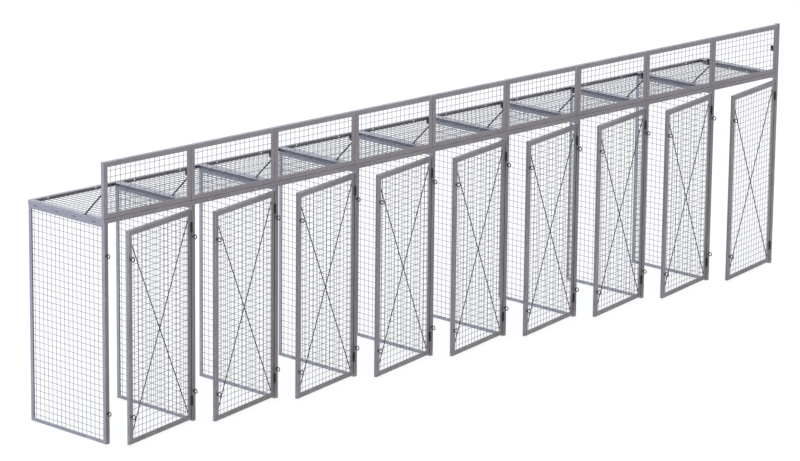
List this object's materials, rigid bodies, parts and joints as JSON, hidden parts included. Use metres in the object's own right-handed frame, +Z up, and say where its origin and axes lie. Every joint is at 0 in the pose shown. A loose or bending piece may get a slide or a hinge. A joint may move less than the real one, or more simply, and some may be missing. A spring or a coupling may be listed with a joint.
{
  "type": "kennel cage",
  "caption": "Long bank of welded wire-mesh kennel cages with partitions, roof panels, upright upper panels and braced right-hung doors, to be fixed against two walls.",
  "frame": {"origin": "on the floor, under the middle of the bounding box of the whole bank with its doors ajar", "axes": "+X along the front to the right, from the free left end to the wall post; +Y from the doors to the rear wall; +Z up"},
  "size_m": [8.2666, 1.1262, 2.28],
  "materials": {
    "frame_steel": "matt galvanised angle iron and wire, cool blue-grey",
    "door_steel": "matt galvanised angle iron and wire, slightly warmer grey",
    "black_steel": "dull black plated steel"
  },
  "bodies": {
    "bank": {"partition_1": "frame_steel", "partition_2": "frame_steel", "partition_3": "frame_steel", "partition_4": "frame_steel", "partition_5": "frame_steel", "partition_6": "frame_steel", "partition_7": "frame_steel", "partition_8": "frame_steel", "partition_9": "frame_steel", "roof_panel_1": "frame_steel", "roof_panel_2": "frame_steel", "roof_panel_3": "frame_steel", "roof_panel_4": "frame_steel", "roof_panel_5": "frame_steel", "roof_panel_6": "frame_steel", "roof_panel_7": "frame_steel", "roof_panel_8": "frame_steel", "roof_panel_9": "frame_steel", "upper_panel_1": "frame_steel", "upper_panel_2": "frame_steel", "upper_panel_3": "frame_steel", "upper_panel_4": "frame_steel", "upper_panel_5": "frame_steel", "upper_panel_6": "frame_steel", "upper_panel_7": "frame_steel", "upper_panel_8": "frame_steel", "upper_panel_9": "frame_steel", "hinge_1_lower": "black_steel", "hinge_1_upper": "black_steel", "hinge_2_lower": "black_steel", "hinge_2_upper": "black_steel", "hinge_3_lower": "black_steel", "hinge_3_upper": "black_steel", "hinge_4_lower": "black_steel", "hinge_4_upper": "black_steel", "hinge_5_lower": "black_steel", "hinge_5_upper": "black_steel", "hinge_6_lower": "black_steel", "hinge_6_upper": "black_steel", "hinge_7_lower": "black_steel", "hinge_7_upper": "black_steel", "hinge_8_lower": "black_steel", "hinge_8_upper": "black_steel", "hinge_9_lower": "black_steel", "hinge_9_upper": "black_steel", "wall_post": "frame_steel", "wall_rail": "frame_steel"},
    "door_leaf_1": {"door_1": "door_steel"},
    "door_leaf_2": {"door_2": "door_steel"},
    "door_leaf_3": {"door_3": "door_steel"},
    "door_leaf_4": {"door_4": "door_steel"},
    "door_leaf_5": {"door_5": "door_steel"},
    "door_leaf_6": {"door_6": "door_steel"},
    "door_leaf_7": {"door_7": "door_steel"},
    "door_leaf_8": {"door_8": "door_steel"},
    "door_leaf_9": {"door_9": "door_steel"}
  },
  "joints": [
    {"name": "door_1_swing", "type": "hinge", "parent": "bank", "child": "door_leaf_1", "pos_m": [-3.21965, -0.35242, 0.89], "axis": [0, 0, 1], "range_deg": [-12.4, 92.6]},
    {"name": "door_2_swing", "type": "hinge", "parent": "bank", "child": "door_leaf_2", "pos_m": [-2.30565, -0.35242, 0.89], "axis": [0, 0, 1], "range_deg": [-12.4, 92.6]},
    {"name": "door_3_swing", "type": "hinge", "parent": "bank", "child": "door_leaf_3", "pos_m": [-1.39165, -0.35242, 0.89], "axis": [0, 0, 1], "range_deg": [-12.4, 92.6]},
    {"name": "door_4_swing", "type": "hinge", "parent": "bank", "child": "door_leaf_4", "pos_m": [-0.47765, -0.35242, 0.89], "axis": [0, 0, 1], "range_deg": [-12.4, 92.6]},
    {"name": "door_5_swing", "type": "hinge", "parent": "bank", "child": "door_leaf_5", "pos_m": [0.43635, -0.35242, 0.89], "axis": [0, 0, 1], "range_deg": [-12.4, 92.6]},
    {"name": "door_6_swing", "type": "hinge", "parent": "bank", "child": "door_leaf_6", "pos_m": [1.35035, -0.35242, 0.89], "axis": [0, 0, 1], "range_deg": [-12.4, 92.6]},
    {"name": "door_7_swing", "type": "hinge", "parent": "bank", "child": "door_leaf_7", "pos_m": [2.26435, -0.35242, 0.89], "axis": [0, 0, 1], "range_deg": [-12.4, 92.6]},
    {"name": "door_8_swing", "type": "hinge", "parent": "bank", "child": "door_leaf_8", "pos_m": [3.17835, -0.35242, 0.89], "axis": [0, 0, 1], "range_deg": [-12.4, 92.6]},
    {"name": "door_9_swing", "type": "hinge", "parent": "bank", "child": "door_leaf_9", "pos_m": [4.09235, -0.35242, 0.89], "axis": [0, 0, 1], "range_deg": [-12.4, 92.6]}
  ]
}
